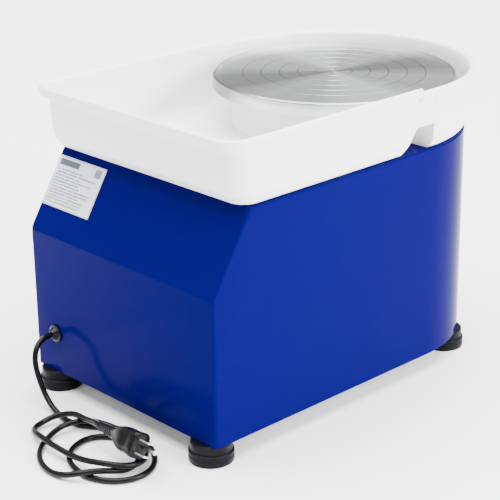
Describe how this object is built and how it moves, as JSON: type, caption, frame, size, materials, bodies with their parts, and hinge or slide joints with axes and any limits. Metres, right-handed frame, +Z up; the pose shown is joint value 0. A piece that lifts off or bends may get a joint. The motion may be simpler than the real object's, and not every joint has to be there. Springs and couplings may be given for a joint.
{
  "type": "pottery wheel",
  "caption": "Tabletop pottery wheel: a painted steel housing with a belt-driven spinning wheel head in a split white basin, a mains lead, and a side panel with speed knob, switches and display.",
  "frame": {"origin": "centre of the footprint on the floor, measured without the mains lead", "axes": "+X towards the wheel head and the round end, +Y the side with the controls, +Z up"},
  "size_m": [0.5543, 0.2914, 0.3106],
  "materials": {
    "blue_enamel": "gloss",
    "zinc_plate": "satin",
    "white_plastic": "satin",
    "turned_aluminium": "turned",
    "bright_steel": "ground",
    "cast_iron": "as cast",
    "black_paint": "semi-gloss",
    "black_rubber": "matte",
    "circuit_board": "matte",
    "capacitor_sleeve": "gloss",
    "panel_black": "matte",
    "display_glass": "gloss",
    "switch_black": "satin",
    "label_film": "satin",
    "cord_black": "satin",
    "nickel_pin": "polished"
  },
  "bodies": {
    "housing": {"housing_shell": "blue_enamel", "base_plate": "zinc_plate", "motor_plate": "zinc_plate", "standoff_1": "zinc_plate", "standoff_2": "zinc_plate", "standoff_3": "zinc_plate", "standoff_4": "zinc_plate", "base_screw_1": "zinc_plate", "base_screw_2": "zinc_plate", "base_screw_3": "zinc_plate", "base_screw_4": "zinc_plate", "bearing_screw_1": "zinc_plate", "bearing_screw_2": "zinc_plate", "bearing_screw_3": "zinc_plate", "foot_bolt_rear_left": "zinc_plate", "foot_bolt_rear_right": "zinc_plate", "foot_bolt_front_left": "zinc_plate", "foot_bolt_front_right": "zinc_plate", "motor_end_bell": "turned_aluminium", "controller_heatsink": "turned_aluminium", "bearing_upper": "bright_steel", "bearing_lower": "bright_steel", "bearing_housing": "cast_iron", "motor_body": "black_paint", "foot_rear_left": "black_rubber", "foot_rear_right": "black_rubber", "foot_front_left": "black_rubber", "foot_front_right": "black_rubber", "drive_belt": "black_rubber", "controller_board": "circuit_board", "main_capacitor": "capacitor_sleeve", "control_panel": "panel_black", "speed_pot": "panel_black", "display_window": "display_glass", "power_switch": "switch_black", "direction_switch": "switch_black", "rating_label": "label_film", "power_cord": "cord_black", "cord_gland": "cord_black", "plug_body": "cord_black", "plug_blade_1": "nickel_pin", "plug_blade_2": "nickel_pin", "plug_ground_pin": "nickel_pin"},
    "wheel": {"wheel_head": "turned_aluminium", "head_hub": "bright_steel", "spindle": "bright_steel", "spindle_nut": "zinc_plate", "driven_pulley": "turned_aluminium"},
    "motor_rotor": {"motor_shaft": "bright_steel", "drive_pulley": "turned_aluminium"},
    "knob": {"speed_knob": "switch_black", "knob_shaft": "bright_steel"},
    "power_button": {"power_rocker": "switch_black"},
    "direction_button": {"direction_rocker": "switch_black"},
    "tray": {"basin_tray": "white_plastic"},
    "guard": {"splash_guard": "white_plastic"}
  },
  "joints": [
    {"name": "wheel_spin", "type": "hinge", "parent": "housing", "child": "wheel", "pos_m": [0.0794, 0, 0.24], "axis": [0, 0, 1], "continuous": true},
    {"name": "motor_spin", "type": "hinge", "parent": "housing", "child": "motor_rotor", "pos_m": [-0.0556, 0, 0.12], "axis": [0, 0, 1], "continuous": true},
    {"name": "speed_turn", "type": "hinge", "parent": "housing", "child": "knob", "pos_m": [-0.105, 0.1373, 0.178], "axis": [0, -1, 0], "range_deg": [0, 270]},
    {"name": "power_rock", "type": "hinge", "parent": "housing", "child": "power_button", "pos_m": [0.009, 0.1368, 0.178], "axis": [1, 0, 0], "range_deg": [0, 16]},
    {"name": "direction_rock", "type": "hinge", "parent": "housing", "child": "direction_button", "pos_m": [-0.023, 0.1368, 0.178], "axis": [1, 0, 0], "range_deg": [0, 16]},
    {"name": "tray_slide", "type": "slide", "parent": "housing", "child": "tray", "axis": [-1, 0, 0], "range_m": [0, 0.15]},
    {"name": "guard_slide", "type": "slide", "parent": "housing", "child": "guard", "axis": [1, 0, 0], "range_m": [0, 0.15]}
  ],
  "couplings": [
    {"joint": "motor_spin", "follows": "wheel_spin", "ratio": 4.5484}
  ]
}
